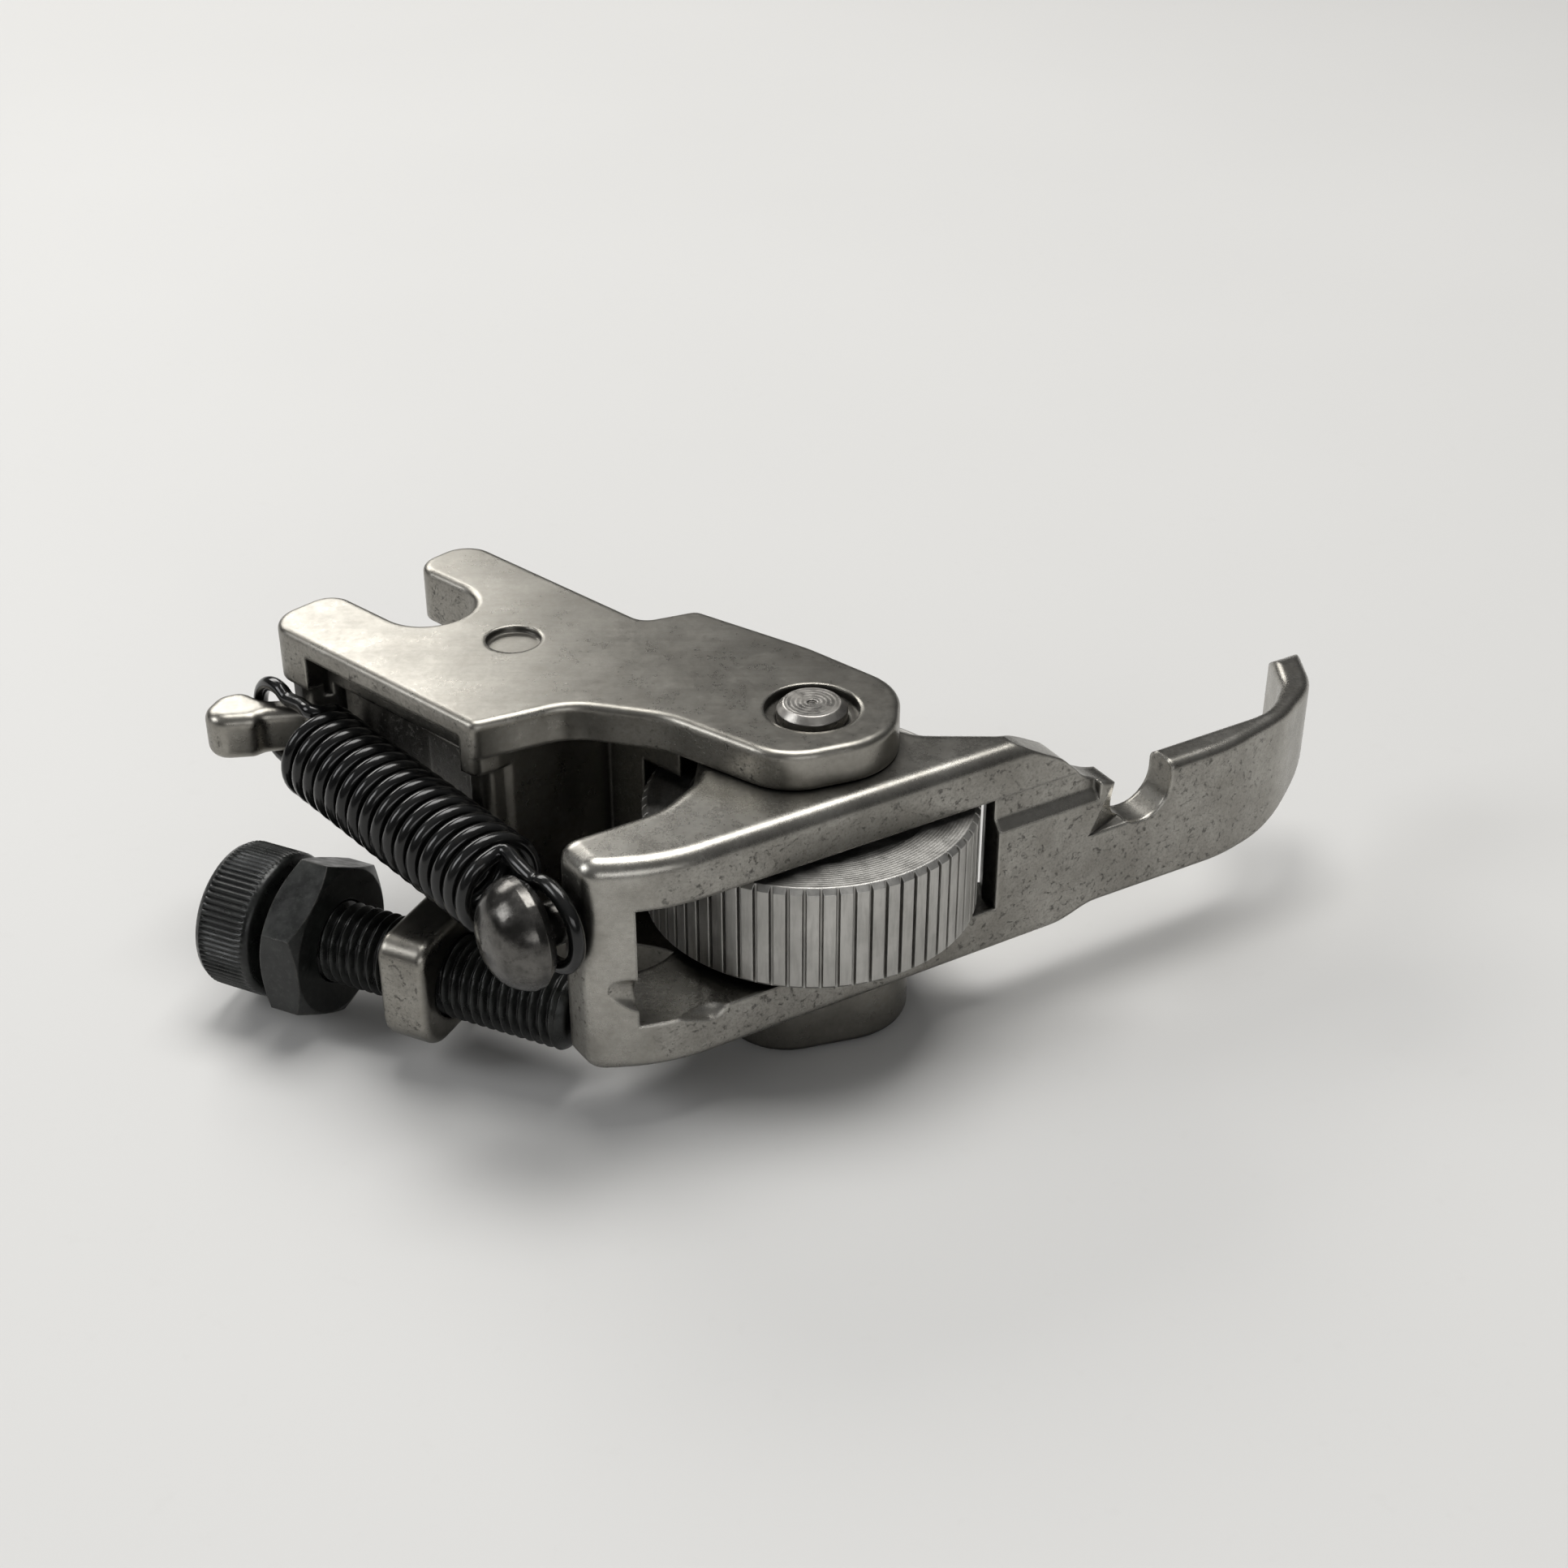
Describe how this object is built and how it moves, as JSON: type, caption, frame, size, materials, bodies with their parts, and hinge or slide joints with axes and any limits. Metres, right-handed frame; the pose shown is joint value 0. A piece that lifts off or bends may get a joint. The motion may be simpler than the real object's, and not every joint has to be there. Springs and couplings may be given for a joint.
{
  "type": "hinged roller presser foot",
  "caption": "Spring-loaded hinged presser foot with a knurled roller in its sole, fork shank for the presser bar and an adjusting stop screw.",
  "frame": {"origin": "on the hinge-pin axis, midway between the foot's two cheeks", "axes": "+Z along the hinge pin (left-right in use; the foot lies on its side). Seen from +Z the sole runs from the heel at -X,-Y to the toe at +X,+Y, 31 degrees from +X, and the shank runs from the pin up to its fork 138 degrees from +X. The underside at z = -8.45 mm rests on the bench."},
  "size_m": [0.0542, 0.0286, 0.016],
  "materials": {
    "holder_steel": "satin polished cast steel with bright worn edges",
    "foot_steel": "satin polished cast steel with fine pitting on the sole",
    "pin_steel": "ground steel",
    "roller_steel": "matt turned steel with straight knurling",
    "black_spring": "oiled black spring wire",
    "dark_post": "polished dark steel",
    "black_screw": "black oxide",
    "black_nut": "black oxide"
  },
  "bodies": {
    "holder": {"shank_holder": "holder_steel", "pivot_pin": "pin_steel", "tension_spring": "black_spring"},
    "foot": {"foot_sole": "foot_steel", "heel_spring_post": "dark_post"},
    "roller": {"knurled_roller": "roller_steel"},
    "lock_nut": {"hex_lock_nut": "black_nut"},
    "stop_screw": {"adjusting_screw": "black_screw"}
  },
  "joints": [
    {"name": "foot_tilt", "type": "hinge", "parent": "holder", "child": "foot", "pos_m": [0, 0, 0], "axis": [0, 0, 1], "range_deg": [0, 26], "deforming": ["tension_spring"]},
    {"name": "roller_spin", "type": "hinge", "parent": "holder", "child": "roller", "pos_m": [0, 0, 0], "axis": [0, 0, 1], "continuous": true},
    {"name": "screw_feed", "type": "slide", "parent": "holder", "child": "lock_nut", "axis": [0.9063, -0.4226, 0], "range_m": [-0.003, 0]},
    {"name": "screw_turn", "type": "hinge", "parent": "lock_nut", "child": "stop_screw", "pos_m": [-0.02074, -0.00188, -0.0044], "axis": [0.9063, -0.4226, 0], "range_deg": [-2160, 0]}
  ],
  "couplings": [
    {"joint": "screw_turn", "follows": "screw_feed", "rad_per_m": 12566}
  ]
}
